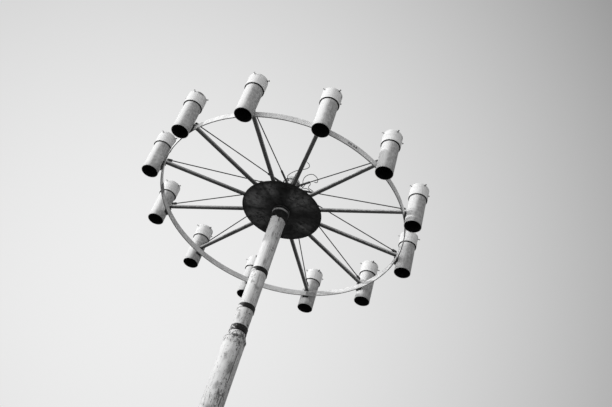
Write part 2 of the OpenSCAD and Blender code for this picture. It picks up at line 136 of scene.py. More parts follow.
def make_camera():
    data = bpy.data.cameras.new("camera")
    data.lens = CAMERA_LENS
    data.sensor_width = 36.0
    data.clip_end = 200.0
    camera = added("camera", data)
    look = turn_by(CAMERA_HEADING) @ turn_by(90 + CAMERA_RISE, "X") @ turn_by(CAMERA_ROLL)
    camera.matrix_world = Matrix.Translation(CAMERA_PLACE) @ look
    bpy.context.scene.camera = camera


make_camera()


# ---- tools for shaping pieces ----
def deselect():
    bpy.ops.object.select_all(action="DESELECT")


def take(piece):
    """Makes a piece the only selected and active one."""
    deselect()
    piece.select_set(True)
    bpy.context.view_layer.objects.active = piece


def edit():
    """Goes into edit mode with the whole active piece selected."""
    bpy.ops.object.mode_set(mode="EDIT")
    bpy.ops.mesh.select_all(action="SELECT")


def seal(angle, merge=0.0, hole_sides=0):
    """Closes the active piece, turns its faces outwards and shades it smooth up to an angle."""
    edit()
    if merge:
        bpy.ops.mesh.remove_doubles(threshold=merge)
    if hole_sides:
        bpy.ops.mesh.fill_holes(sides=hole_sides)
    bpy.ops.mesh.normals_make_consistent(inside=False)
    bpy.ops.object.mode_set(mode="OBJECT")
    bpy.ops.object.shade_smooth_by_angle(angle=math.radians(angle))


def apply_all(piece):
    """Applies a piece's modifiers in their order."""
    take(piece)
    for name in [modifier.name for modifier in piece.modifiers]:
        bpy.ops.object.modifier_apply(modifier=name)


def turned(profile, sides):
    """A shape turned on +Z from (radius, height) steps, or a prism where it has few sides."""
    deselect()
    (radius, height), *steps = profile
    bpy.ops.mesh.primitive_circle_add(vertices=sides, radius=radius, fill_type="NGON",
                                      location=(0, 0, height))
    bpy.ops.object.transform_apply(location=True)
    edit()
    for next_radius, next_height in steps:
        bpy.ops.mesh.extrude_region_move(
            TRANSFORM_OT_translate={"value": (0, 0, next_height - height)})
        scale = next_radius / radius
        bpy.ops.transform.resize(value=(scale, scale, 1), center_override=(0, 0, next_height))
        radius, height = next_radius, next_height
    seal(35)
    return bpy.context.object


def join(pieces, name):
    """Joins pieces as one with its origin at the frame's."""
    take(pieces[0])
    for piece in pieces:
        piece.select_set(True)
    if len(pieces) > 1:
        bpy.ops.object.join()
    whole = bpy.context.object
    whole.name = whole.data.name = name
    return whole


def repeat(pattern, places, name):
    """Copies a pattern to each place and joins the copies."""
    copies = []
    for place in places:
        one = added(name, pattern.data.copy())
        one.data.transform(place)
        copies.append(one)
    bpy.data.objects.remove(pattern)
    return join(copies, name)


def length_along(points):
    return sum((b - a).length for a, b in zip(points, points[1:]))


def polyline(name, points, closed=False):
    """A curve of straight runs between points."""
    curve = bpy.data.curves.new(name, "CURVE")
    curve.dimensions = "3D"
    line = curve.splines.new("POLY")
    line.points.add(len(points) - 1)
    for spot, p in zip(line.points, points):
        spot.co = (*p, 1)
    line.use_cyclic_u = closed
    return added(name, curve)


def swept(name, points, diameter, roundness):
    """A closed round tube along points."""
    tube = polyline(name, points)
    tube.data.bevel_depth = diameter / 2
    tube.data.bevel_resolution = roundness
    tube.data.use_fill_caps = True
    take(tube)
    bpy.ops.object.convert(target="MESH")
    seal(40, merge=1e-6)
    piece = bpy.context.object
    piece.name = piece.data.name = name
    return piece


def fit(parts, places, name, finish):
    """Joins parts, copies them to each place and fixes the whole to the lamp as one piece."""
    piece = repeat(join(parts, "pattern"), places, name)
    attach(piece, "root")
    piece.data.materials.clear()
    piece.data.materials.append(FINISHES[finish])


# ---- cut wires at the mast head ----
WIRE_D = 0.008
CORE_D = 0.0016
CORE_BARE = 0.012        # length that is stripped
CORE_OFF = 0.0017        # from the wire's middle, at its end
CORE_SPLAY = 0.0046      # from the wire's middle, at the cores' tips
WIRE_GAP = 0.005         # between the points of a wire's curve
FINE_GAP = 0.002
GLAND_DIRS = (234, 338, 356, 316)
GLAND_Z = 0.592          # above the lamp mouths
GLAND_FACE_R = UPPER_R + 0.008 + 0.0003
# Route of each wire after its gland, from the mast axis at mouth height
WIRE_ROUTES = (
    ((-.073, -.099, .597), (-.077, -.104, .615), (-.073, -.100, .640), (-.063, -.093, .670),
     (-.044, -.086, .710), (0, -.080, .776), (.060, -.073, .836), (.106, -.066, .884),
     (.128, -.061, .932), (.118, -.057, .974), (.090, -.054, .996)),
    ((.117, -.047, .599), (.125, -.049, .620), (.122, -.041, .662), (.114, -.034, .712),
     (.119, -.031, .772), (.146, -.031, .828), (.188, -.035, .862), (.228, -.040, .856),
     (.262, -.046, .822), (.277, -.052, .778), (.270, -.057, .742), (.244, -.061, .732)),
    ((.126, -.012, .596), (.138, -.028, .612), (.147, -.046, .640), (.161, -.057, .670),
     (.180, -.061, .694), (.200, -.062, .688), (.205, -.062, .664), (.196, -.061, .636),
     (.202, -.060, .608), (.226, -.060, .600), (.256, -.060, .592)),
    ((.095, -.084, .588), (.113, -.084, .578), (.130, -.076, .568), (.151, -.067, .570),
     (.176, -.061, .588), (.204, -.060, .585), (.240, -.060, .560)),
)


def smooth_route(points, gap):
    """Points of a smooth curve through a route, about one every gap."""
    last = len(points) - 1
    out = []
    for i in range(last):
        p1, p2 = points[i], points[i + 1]
        p0 = points[i - 1] if i else 2 * p1 - p2
        p3 = points[i + 2] if i + 2 <= last else 2 * p2 - p1
        steps = max(1, round((p2 - p1).length / gap))
        for k in range(steps):
            t = k / steps
            out.append(0.5 * (2 * p1 + (p2 - p0) * t + (2 * p0 - 5 * p1 + 4 * p2 - p3) * t * t
                              + (3 * p1 - p0 - 3 * p2 + p3) * t * t * t))
    out.append(points[-1])
    return out


def wire_cores(number, end, way):
    """Three bare conductors that stand splayed out of a wire's cut end."""
    side = way.orthogonal().normalized()
    cores = []
    for k in range(3):
        off = Matrix.Rotation(math.radians(120 * k + 25 * number), 3, way) @ side
        start = end + CORE_OFF * off - 0.004 * way
        middle = end + 0.0019 * off + 0.4 * CORE_BARE * way
        tip = end + CORE_SPLAY * off + (1 - 0.15 * k) * CORE_BARE * way
        cores.append(swept(f"core_{k}", smooth_route([start, middle, tip], FINE_GAP), CORE_D, 1))
    return join(cores, f"wire_cores_{number}")


def make_wire(number):
    way = around(1, GLAND_DIRS[number - 1], 0)
    face = way * GLAND_FACE_R + Vector((0, 0, GLAND_Z))
    route = [face, face + 2 * WIRE_D * way] + [Vector(p) for p in WIRE_ROUTES[number - 1]]
    lift = Vector((0, 0, MOUTH_Z))
    points = [p + lift for p in smooth_route(route, WIRE_GAP)]
    wire = swept(f"cut_wire_{number}", points, WIRE_D, 3)
    cores = wire_cores(number, points[-1], (points[-1] - points[-2]).normalized())
    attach(cores, "root")
    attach(wire, "root")
    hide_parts(f"wire_{number}")
    length_along(points)
    return wire, cores


wires = [make_wire(n) for n in range(1, len(WIRE_ROUTES) + 1)]


# ---- tools for finishes ----
class Value:
    """What a node gives, which can be counted with like a number."""

    def __init__(self, bench, socket):
        self.bench = bench
        self.socket = socket

    def __add__(self, other):
        return self.bench.maths("ADD", self, other)

    def __sub__(self, other):
        return self.bench.maths("SUBTRACT", self, other)

    def __rsub__(self, other):
        return self.bench.maths("SUBTRACT", other, self)

    def __mul__(self, other):
        return self.bench.maths("MULTIPLY", self, other)

    def __truediv__(self, other):
        return self.bench.maths("DIVIDE", self, other)

    __radd__ = __add__

    def step(self, low, high, start=0.0, end=1.0):
        """Runs smoothly from start to end as this goes from low to high."""
        feeds = {"Value": self, "From Min": low, "From Max": high, "To Min": start, "To Max": end}
        return self.bench.value("MapRange", "Result", feeds, interpolation_type="SMOOTHSTEP")

    def blend(self, first, second):
        """Runs from first, where this is 0, to second, where it is 1."""
        return self.bench.value("Mix", "Result", {"Factor": self, "A": first, "B": second})

    def noise(self, scale, detail, roughness):
        feeds = {"Vector": self, "Scale": scale, "Detail": detail, "Roughness": roughness}
        return self.bench.value("TexNoise", "Fac", feeds)

    def stretch(self, sizes):
        """A place counted in steps of the given sizes, in metres."""
        return self.bench.vector("DIVIDE", self, sizes)

    def parts(self):
        made = self.bench.node("SeparateXYZ", {"Vector": self})
        return [Value(self.bench, socket) for socket in made.outputs]


class Bench:
    """Places shader nodes in one node tree and joins them up."""

    def __init__(self, tree):
        self.tree = tree

    def feed(self, socket, value):
        value = getattr(value, "socket", value)
        if isinstance(value, bpy.types.NodeSocket):
            self.tree.links.new(value, socket)
        else:
            socket.default_value = value

    def node(self, kind, feeds=None, **settings):
        made = self.tree.nodes.new("ShaderNode" + kind)
        for name, value in settings.items():
            setattr(made, name, value)
        for name, value in (feeds or {}).items():
            self.feed(made.inputs[name], value)
        return made

    def value(self, kind, output, feeds=None, **settings):
        return Value(self, self.node(kind, feeds, **settings).outputs[output])

    def values(self, outputs):
        return {name: Value(self, socket) for name, socket in outputs.items()}

    def maths(self, operation, first, second=0.0):
        return self.value("Math", 0, {0: first, 1: second}, operation=operation)

    def most(self, first, *others):
        """The greatest of several values."""
        for value in others:
            first = self.maths("MAXIMUM", first, value)
        return first

    def vector(self, operation, first, second=(0, 0, 0)):
        output = "Value" if operation in ("DOT_PRODUCT", "LENGTH") else "Vector"
        return self.value("VectorMath", output, {0: first, 1: second}, operation=operation)

    def combined(self, x, y, z=0.0):
        return self.value("CombineXYZ", "Vector", {"X": x, "Y": y, "Z": z})

    def effect(self, name, **feeds):
        """Places one of the shared effects and returns its outputs."""
        made = self.tree.nodes.new("ShaderNodeGroup")
        made.node_tree = bpy.data.node_groups[name]
        for label, value in feeds.items():
            self.feed(made.inputs[label], value)
        return self.values(made.outputs)

    def seen(self):
        """1 for rays that show the setting itself, in the open, in metal or through glass."""
        path = self.node("LightPath").outputs
        return self.most(path["Is Camera Ray"], path["Is Glossy Ray"], path["Is Transmission Ray"])


PLACE = {"Vector": (0, 0, 0)}
FACE = {"Vector": (0, 0, 0), "Normal": (0, 0, 0)}
MASK = {"Mask": 0.0}


def shared_effect(name, takes, gives):
    """Builds an effect by a function that is given a bench and the inputs, and gives the outputs.

    takes and gives list its sockets, a tuple for a vector.
    """
    def build(work):
        tree = bpy.data.node_groups.new(name, "ShaderNodeTree")
        for way, sockets in (("INPUT", takes), ("OUTPUT", gives)):
            for label, start in sockets.items():
                kind = "NodeSocketVector" if isinstance(start, tuple) else "NodeSocketFloat"
                socket = tree.interface.new_socket(label, in_out=way, socket_type=kind)
                socket.default_value = start
        bench = Bench(tree)
        entry = bench.values(tree.nodes.new("NodeGroupInput").outputs)
        leave = tree.nodes.new("NodeGroupOutput").inputs
        for label, value in zip(gives, work(bench, *[entry[label] for label in takes])):
            bench.feed(leave[label], value)
        return work
    return build


@shared_effect("lamp place", FACE, {"Local": (0, 0, 0), "Inside": 0.0})
def lamp_place(bench, place, normal):
    """Where a point is from its own lamp's mouth, and whether its face looks inwards."""
    x, y, z = place.parts()
    step = math.radians(LAMP_STEP)
    lamp_turn = bench.maths("ROUND", bench.maths("ARCTAN2", y, x) / step) * step
    axis_x = bench.maths("COSINE", lamp_turn) * LAMP_CIRCLE_R
    axis_y = bench.maths("SINE", lamp_turn) * LAMP_CIRCLE_R
    local = bench.vector("SUBTRACT", place, bench.combined(axis_x, axis_y, MOUTH_Z))
    from_middle = bench.vector("SUBTRACT", local, (0, 0, CAN_LENGTH / 2))
    outward = bench.vector("DOT_PRODUCT", normal, from_middle)
    return local, bench.maths("LESS_THAN", outward, 0.0)


@shared_effect("mast place", PLACE, {"Turn": 0.0, "Height": 0.0, "Out": 0.0})
def mast_place(bench, place):
    """Direction round the mast in degrees, 0 to 360, height above the mouths, distance out."""
    x, y, z = place.parts()
    turn = bench.maths("DEGREES", bench.maths("ARCTAN2", y, x))
    below = bench.maths("LESS_THAN", turn, 0.0)
    return turn + below * 360.0, z - MOUTH_Z, bench.vector("LENGTH", bench.combined(x, y))


# Directions between which the sunlit side begins and ends. The finishes paint sunlight there and shade
# beyond it.
SUNLIT_FROM = (115.0, 160.0)
SUNLIT_TO = (236.0, 266.0)


@shared_effect("sun side light", {"Turn": 0.0}, {"Sunlit": 0.0})
def sun_side_light(bench, turn):
    """The side that the sun lights, by direction in degrees: 1 there and 0 on the shaded side, for
    painted sunlight and painted shade.
    """
    return [turn.step(*SUNLIT_FROM) * turn.step(*SUNLIT_TO, 1.0, 0.0)]


@shared_effect("rain streaks", {**PLACE, "Width": 0.01, "Length": 0.2, "Low": 0.5, "High": 0.7}, MASK)
def rain_streaks(bench, place, width, length, low, high):
    """Streaks that run down a surface."""
    run = place.stretch(bench.combined(width, width, length)).noise(1.0, 4.0, 0.6)
    return [run.step(low, high)]


@shared_effect("chips", {**PLACE, "Size": 0.02, "Share": 0.3, "Tall": 1.0}, {"Mask": 0.0, "Lift": 0.0})
def lost_paint(bench, place, size, share, tall):
    """Ragged chips of lost paint, and the rim where the paint lifts round them."""
    place = place.stretch(bench.combined(size, size, size * tall))
    level = place.noise(1.0, 2.0, 0.5) * 0.68 + place.noise(5.0, 3.0, 0.6) * 0.32 + share
    return level.step(0.99, 1.015), level.step(0.955, 0.99) * level.step(1.0, 1.03, 1.0, 0.0)


@shared_effect("stain", {**PLACE, "Centre": (0, 0, 0), "Size": (1, 1, 1), "Rag": 0.5,
                         "Grain": 40.0, "Soft": 0.5}, MASK)
def stain(bench, place, centre, size, rag, grain, soft):
    """One soft or ragged stain at a place on the lamp."""
    away = bench.vector("SUBTRACT", place, centre)
    torn = place.noise(grain, 5.0, 0.7) - 0.5
    reach = bench.vector("LENGTH", away.stretch(size)) + torn * rag
    return [reach.step(1.0 - soft, 1.0, 1.0, 0.0)]


@shared_effect("dust", {**FACE, "Grain": 30.0}, MASK)
def dust(bench, place, normal, grain):
    """Dust and bleaching on faces that look up."""
    return [(normal.parts()[2] + place.noise(grain, 4.0, 0.6) * 0.8).step(0.3, 1.1)]


@shared_effect("brushed coat", {**PLACE, "Grain": 900.0, "Runs": 0.3}, {"Height": 0.0})
def brushed_coat(bench, place, grain, runs):
    """The fine relief of brushed paint, with a few runs."""
    run = place.stretch((0.012, 0.012, 0.15)).noise(1.0, 2.0, 0.5)
    return [place.noise(grain, 2.0, 0.5) * 0.25 + run * runs]


# ---- finishes ----
FINISHES = {}


class Finish(Bench):
    """A new material with its shader and the places that its patterns are drawn in."""

    def __init__(self, name, metallic=0.0, specular=0.5):
        self.material = bpy.data.materials.new(name)
        self.material.use_nodes = True
        FINISHES[name] = self.material
        super().__init__(self.material.node_tree)
        self.shader = self.tree.nodes["Principled BSDF"]
        self.shader.inputs["Metallic"].default_value = metallic
        self.shader.inputs["Specular IOR Level"].default_value = specular
        self.place = self.value("TexCoord", "Object")
        self.normal = self.value("NewGeometry", "Normal")

    def done(self, colour, roughness, height, depth):
        """Feeds the finished colour, roughness and relief, whose depth is in metres."""
        self.feed(self.shader.inputs["Base Color"], colour)
        self.feed(self.shader.inputs["Roughness"], roughness)
        bump = {"Height": height, "Strength": 1.0, "Distance": depth}
        self.feed(self.shader.inputs["Normal"], self.value("Bump", "Normal", bump))

    def soot_and_shade_inside(self, inside, tone, rough, height):
        """Ends a can's or cap's finish, near-black inside: soot together with painted shade in the
        hollow.
        """
        soot = self.patches(40.0, 4.0, 0.6, 0.35, 0.7, 0.004, 0.016)
        self.done(inside.blend(tone, soot), inside.blend(rough, 0.88), height, 0.0005)

    def on_mast(self):
        return self.effect("mast place", Vector=self.place)

    def on_lamp(self):
        return self.effect("lamp place", Vector=self.place, Normal=self.normal)

    # The side that the sun lights, used for painted sunlight and painted shade
    def sunlit_side(self, turn):
        return self.effect("sun side light", Turn=turn)["Sunlit"]

    def lamp_sunlit_side(self, lamp):
        return self.sunlit_side(self.effect("mast place", Vector=lamp["Local"])["Turn"])

    def layers(self, tone, *covers):
        """Lays covers over a tone in turn, each a mask, its greatest strength and its tone."""
        for mask, strength, cover in covers:
            tone = (mask * strength).blend(tone, cover)
        return tone

    def patches(self, scale, detail, roughness, low, high, start=0.0, end=1.0):
        """Soft patches that run from start to end as their noise goes from low to high."""
        return self.place.noise(scale, detail, roughness).step(low, high, start, end)

    def streaks(self, width, length, low, high):
        return self.effect("rain streaks", Vector=self.place, Width=width, Length=length,
                           Low=low, High=high)["Mask"]

    def chips(self, size, share, tall=1.0):
        return self.effect("chips", Vector=self.place, Size=size, Tall=tall, Share=share)

    def dust(self, grain):
        return self.effect("dust", Vector=self.place, Normal=self.normal, Grain=grain)["Mask"]

    def coat(self, grain, runs):
        return self.effect("brushed coat", Vector=self.place, Grain=grain, Runs=runs)["Height"]

    def stain(self, centre, size, rag, grain, soft):
        return self.effect("stain", Vector=self.place, Centre=centre, Size=size, Rag=rag,
                           Grain=grain, Soft=soft)["Mask"]

    def mast_stain(self, turn, height, width, tall, rag, grain, soft):
        """A stain on the mast, by its direction and its height above the lamp mouths."""
        radius = LOWER_R if MOUTH_Z + height < SHOULDER_Z else UPPER_R
        centre = around(radius, turn, MOUTH_Z + height)
        return self.stain(centre, (width, width, tall), rag, grain, soft)

    def blotch(self, x, y, radius, soft=0.9):
        """A soft blotch on the hub plate."""
        return self.stain((x, y, HUB_UNDER_Z), (radius, radius, 1.0), 0.7, 9.0, soft)

    def scuff(self, lamp, turn, height, width, tall):
        """A scuff on a lamp's cap, by its direction round it and its height above the mouths."""
        axis = around(LAMP_CIRCLE_R, (lamp - 1) * LAMP_STEP, 0)
        return self.stain(axis + around(CAP_R, turn, MOUTH_Z + height), (width, width, tall),
                          1.2, 60.0, 0.6)


# Heights above the mouths between which the torn belt at the shoulder begins and ends,
# and between which the scoured top of the mast begins
BELT_FROM = (-1.78, -1.60)
BELT_TO = (-1.53, -1.51)
SCOURED_FROM = (-0.50, -0.25)
# Stains on the upper tube: direction, height above the mouths, half width, half height
UPPER_MARKS = ((267, -0.005, 0.006, 0.055), (301, -0.414, 0.010, 0.008),
               (298, -0.450, 0.012, 0.009), (302, -1.296, 0.014, 0.009),
               (312, -1.424, 0.010, 0.006))
UPPER_SMUDGES = ((274, -0.630, 0.020, 0.075), (288, -0.975, 0.045, 0.028),
                 (230, -1.360, 0.030, 0.060), (225, -0.784, 0.012, 0.020),
                 (242, -0.824, 0.011, 0.018), (236, -0.910, 0.014, 0.045),
                 (265, -0.954, 0.018, 0.014), (237, -1.174, 0.012, 0.010),
                 (292, -1.184, 0.014, 0.008), (262, -0.240, 0.014, 0.070))
# Stains on the cone and the lower tube
LOWER_MARKS = ((303, -1.950, 0.006, 0.250), (299, -2.380, 0.008, 0.200),
               (262, -1.600, 0.034, 0.018), (286, -1.640, 0.018, 0.030),
               (120, -2.300, 0.040, 0.060), (40, -1.900, 0.020, 0.090), (200, -4.300, 0.050, 0.090),
               (60, -4.900, 0.035, 0.100))
LOWER_SMUDGES = ((290, -1.95, 0.050, 0.120), (247, -1.840, 0.026, 0.070),
                 (256, -2.165, 0.040, 0.060), (276, -2.240, 0.040, 0.060),
                 (250, -2.42, 0.070, 0.110), (240, -2.600, 0.030, 0.080),
                 (300, -2.75, 0.060, 0.200), (90, -2.70, 0.080, 0.250), (280, -3.400, 0.040, 0.120))
SUNLIT_WHITE = 0.88       # painted sunlight: the paint's tone on the side that the sun lights
MAST_SUNLIT_SHIFT = 11.0  # degrees that the mast's painted sunlit side reaches past the lamps' own


def paint_mast(name, marks, smudges, dirt_from, dirt_to, wear, sunlit_strength):
    """White paint that peels, streaked by rain, with its marks and smudges. It is paler on the sun's
    side as painted sunlight and greyer on the other side as painted shade.
    """
    finish = Finish(name, specular=0.3)
    mast = finish.on_mast()
    mottle = finish.patches(14.0, 5.0, 0.62, 0.38, 0.68)
    long_runs = finish.streaks(0.015, 0.42, 0.47, 0.66)
    thin_runs = finish.streaks(0.006, 0.17, 0.52, 0.60)
    grime = mast["Height"].step(dirt_from, dirt_to)
    belt = mast["Height"].step(*BELT_FROM) * mast["Height"].step(*BELT_TO, 1.0, 0.0)
    torn = belt * 0.115
    # The side that the sun lights, for painted sunlight; chips are also fewer there
    sunlit = finish.sunlit_side(mast["Turn"] - MAST_SUNLIT_SHIFT)
    wear = wear - sunlit * 0.035
    flaking = finish.most(torn, grime * 0.035)
    chips = finish.chips(0.018, wear + flaking, 1.8)
    scoured = mast["Height"].step(*SCOURED_FROM, 0.0, 0.088)
    ragged = finish.most(torn, scoured, grime * 0.090)
    scratches = finish.chips(0.014, wear + ragged, 3.6)
    deep = 0.55 + grime * 0.38
    marked = finish.most(*[finish.mast_stain(*mark, 3.4, 75.0, 0.25) for mark in marks])
    smudged = finish.most(*[finish.mast_stain(*spot, 1.6, 28.0, 0.9) for spot in smudges])
    # Painted light: the sun's side takes the pale white, the rest the duller streaked grey as painted
    # shade
    shaded_share = 1.0 - sunlit * sunlit_strength
    speckle = finish.patches(260.0, 2.0, 0.5, 0.60, 0.68)

    streaked = long_runs * 0.45 + thin_runs * 0.50
    shade_and_streaks = streaked.blend(mottle.blend(0.80, 0.62), 0.28)
    tone = finish.layers(shaded_share.blend(SUNLIT_WHITE, shade_and_streaks), (grime, 0.26, 0.24),
                         (smudged, 0.62, 0.13), (speckle, 0.25, 0.30),
                         (scratches["Mask"], deep, 0.09), (chips["Mask"], 0.88, 0.08),
                         (marked, 0.80, 0.035))
    lost = finish.most(chips["Mask"], marked)
    lifted = chips["Lift"] * 0.6 - lost
    height = finish.coat(700.0, 0.5) * 0.35 + lifted
    return finish, mast, tone, lost.blend(0.48, 0.85), height


# Directions between which the black end's edge comes down, and its heights there
BLACK_LINE = (190.0, 300.0, 0.030, 0.010)


def paint_upper_mast():
    """The upper tube, whose top end and the sleeve over it are painted black to a wavy line."""
    for name, is_sleeve in (("upper_mast_paint", False), ("sleeve_paint", True)):
        finish, mast, tone, rough, height = paint_mast(
            name, UPPER_MARKS, UPPER_SMUDGES, dirt_from=-0.7, dirt_to=-1.5, wear=0.350, sunlit_strength=0.80)
        waves = finish.place.noise(26.0, 2.0, 0.5) - 0.5
        line = mast["Turn"].step(*BLACK_LINE) + waves * 0.045
        black = (mast["Height"] - line).step(-0.002, 0.002)
        if not is_sleeve:
            black = black * mast["Height"].step(0.176, 0.180, 1.0, 0.0)
        sooty = finish.patches(30.0, 4.0, 0.6, 0.35, 0.7, 0.008, 0.022)
        if is_sleeve:
            ring = mast["Out"].step(SLEEVE_R + 0.002, SLEEVE_R + 0.006)
            # The sleeve's ring is worn pale grey, lightened as painted light in the hub plate's shade,
            # and dark from 285 to 325 degrees round, away from the sun, as painted shade
            worn = finish.patches(45.0, 4.0, 0.65, 0.3, 0.6, 0.30, 0.62)
            worn = mast["Turn"].step(285.0, 325.0).blend(worn, 0.12)
            sooty = ring.blend(sooty, worn)
        finish.done(black.blend(tone, sooty), black.blend(rough, 0.62), height, 0.0007)


def paint_lower_mast():
    """The cone, the lower tube and what is welded to it, muddied at the foot."""
    finish, mast, tone, rough, height = paint_mast(
        "lower_mast_paint", LOWER_MARKS, LOWER_SMUDGES, dirt_from=-1.5, dirt_to=-2.6, wear=0.372,
        sunlit_strength=0.45)
    splash = finish.place.noise(9.0, 4.0, 0.6) * 0.5
    foot = (mast["Height"] + splash).step(-7.05, -6.45, 0.75, 0.0)
    finish.done(foot.blend(tone, 0.13), rough, height, 0.0009)


# Lower edge above the lamp mouths, and height, of each band
BAND_PLACES = ((-1.518, 0.072), (-1.245, 0.058), (-0.765, 0.056))


def paint_bands():
    """Black tape round the mast, flaked, pale on the sun's side with a thin dark upper line as painted
    light, and black on the other side as painted shade.
    """
    finish = Finish("band_tape", specular=0.1)
    mast = finish.on_mast()
    lowest = mast["Height"].step(-1.42, -1.38, 1.0, 0.0)
    upward = 0.0
    for low, tall in BAND_PLACES:
        share = (mast["Height"] - low) / tall
        upward = mast["Height"].step(low - 0.02, low - 0.01).blend(upward, share)
    ragged = finish.place.noise(70.0, 5.0, 0.68) - 0.5
    # On the sun's side the tape turns pale but for a thin dark line along each band's upper edge:
    # painted light there, painted shade beyond
    bare_to = mast["Turn"].step(195.0, 262.0, 0.68, -0.25) + ragged * 0.7
    bare = (bare_to - upward).step(-0.06, 0.06) * mast["Turn"].step(120.0, 160.0)
    black = finish.patches(60.0, 4.0, 0.6, 0.35, 0.65, 0.006, 0.022)
    faded = finish.patches(90.0, 4.0, 0.65, 0.35, 0.65, 0.035, 0.13)
    # Painted light: the faded grey on the sun's side, the black elsewhere as painted shade
    sun_side_fade = mast["Turn"].step(222.0, 250.0, 1.0, 0.0) * mast["Turn"].step(120.0, 150.0)
    kept = sun_side_fade.blend(black, faded)
    pale = finish.patches(70.0, 4.0, 0.65, 0.35, 0.65, 0.56, 0.82)
    # The lowest band is flaked all over that side instead
    flaked = finish.layers(kept, (finish.chips(0.013, 0.465, 1.6)["Mask"], sun_side_fade, 0.60))
    tone = lowest.blend(bare.blend(kept, pale), flaked)
    few = finish.chips(0.010, 0.34)["Mask"]
    tone = few.blend(tone, 0.16)
    rough = (sun_side_fade * 0.8).blend(0.50, 0.80)
    height = finish.place.noise(160.0, 3.0, 0.6) - few
    finish.done(tone, rough, height, 0.0008)


# Worn blotches on the hub plate: x, y and radius
HUB_PALE_SPOTS = ((-0.33, -0.02, 0.20), (-0.22, 0.24, 0.20), (-0.24, -0.24, 0.16),
                  (0.14, -0.27, 0.22), (0.30, 0.10, 0.15), (0.02, 0.36, 0.12))


def paint_hub():
    """Sooty black paint with paler worn blotches on the underside."""
    finish = Finish("hub_paint", specular=0.06)
    mast = finish.on_mast()
    pale = finish.most(*[finish.blotch(*spot) for spot in HUB_PALE_SPOTS])
    dark = finish.most(finish.blotch(0, 0, 0.16, 0.6), finish.blotch(0.26, -0.10, 0.10))
    ray = finish.vector("NORMALIZE", finish.vector("MULTIPLY", finish.place, (1, 1, 0)))
    rays = ray.noise(2.2, 3.0, 0.55).step(0.38, 0.58, 0.20, 1.0)
    soot = finish.place.noise(16.0, 6.0, 0.66)
    tone = soot.step(0.34, 0.66, 0.010, 0.048)
    tone = rays.blend(tone * 0.55, tone)
    worn = pale * finish.patches(22.0, 5.0, 0.68, 0.34, 0.56)
    edge = (mast["Out"] + soot * 0.05).step(0.445, 0.475)
    specks = finish.chips(0.008, 0.315)["Mask"]
    tone = finish.layers(tone, (worn, rays, 0.17), (dark, 0.75, 0.014), (edge, 0.7, 0.016),
                         (specks, 0.6, 0.20), (finish.dust(12.0), 0.7, 0.20))
    height = finish.place.noise(220.0, 3.0, 0.6) - specks
    finish.done(tone, soot.step(0.3, 0.7, 0.55, 0.85), height, 0.0006)


def paint_cans():
    """White lamp cans, streaked outside, paler on the sun's side as painted sunlight and greyer on the
    other side as painted shade, with a painted shadow under each cap's lip, and black inside with soot
    and painted shade.
    """
    finish = Finish("can_white", specular=0.12)
    lamp = finish.on_lamp()
    height = lamp["Local"].parts()[2]
    mottle = finish.patches(24.0, 5.0, 0.62, 0.36, 0.68)
    broad, fine = finish.streaks(0.009, 0.30, 0.42, 0.66), finish.streaks(0.003, 0.12, 0.46, 0.66)
    shade_and_streaks = finish.layers(mottle.blend(0.60, 0.38), (broad, 0.36, 0.28), (fine, 0.32, 0.24))
    # Painted light: pale white where the sun lights the can, the duller streaked grey elsewhere as
    # painted shade
    shaded_share = 1.0 - finish.lamp_sunlit_side(lamp) * 0.80
    low_grime = height.step(0.004, 0.075, 1.0, 0.0)
    # Painted shadow: a near-black band just under the cap's lip
    lip_shadow = height.step(UNDER_CAP - 0.012, UNDER_CAP - 0.006)
    chips = finish.chips(0.012, 0.318, 1.6)["Mask"]
    tone = finish.layers(shaded_share.blend(SUNLIT_WHITE, shade_and_streaks), (low_grime, 0.22, 0.30),
                         (lip_shadow, 0.94, 0.012), (chips, 0.75, 0.14))
    relief = finish.coat(800.0, 0.4) * 0.5 - chips
    finish.soot_and_shade_inside(lamp["Inside"], tone, mottle.blend(0.42, 0.62), relief)


# Scuffs on the caps: lamp, direction round its cap, height above the mouths,
# half width, half height
CAP_SCUFFS = ((8, 283, 0.543, 0.050, 0.022), (2, 285, 0.545, 0.040, 0.014),
              (3, 303, 0.542, 0.026, 0.018), (10, 327, 0.520, 0.016, 0.044),
              (11, 325, 0.527, 0.020, 0.036), (12, 331, 0.522, 0.012, 0.034),
              (5, 340, 0.500, 0.012, 0.040), (1, 320, 0.542, 0.020, 0.012),
              (6, 100, 0.500, 0.012, 0.030))


def paint_caps():
    """Cleaner white caps with faint turned rings, a few scuffs, and near-black insides of soot and
    painted shade that darken the gap under the lip.
    """
    finish = Finish("cap_white", specular=0.3)
    lamp = finish.on_lamp()
    rings = finish.place.stretch((0.25, 0.25, 0.009)).noise(1.0, 3.0, 0.6)
    mottle = finish.patches(18.0, 4.0, 0.6, 0.38, 0.68)
    tone = rings.step(0.42, 0.64, 0.0, 0.5).blend(0.90, 0.70)
    runs = finish.streaks(0.007, 0.12, 0.56, 0.74)
    scuffed = finish.most(*[finish.scuff(*scuff) for scuff in CAP_SCUFFS])
    chips = finish.chips(0.009, 0.285)["Mask"]
    tone = finish.layers(tone, (mottle, 0.22, 0.72), (runs, 0.30, 0.34), (scuffed, 0.85, 0.07),
                         (chips, 0.7, 0.16))
    relief = rings * 0.4 - chips
    finish.soot_and_shade_inside(lamp["Inside"], tone, mottle.blend(0.36, 0.55), relief)


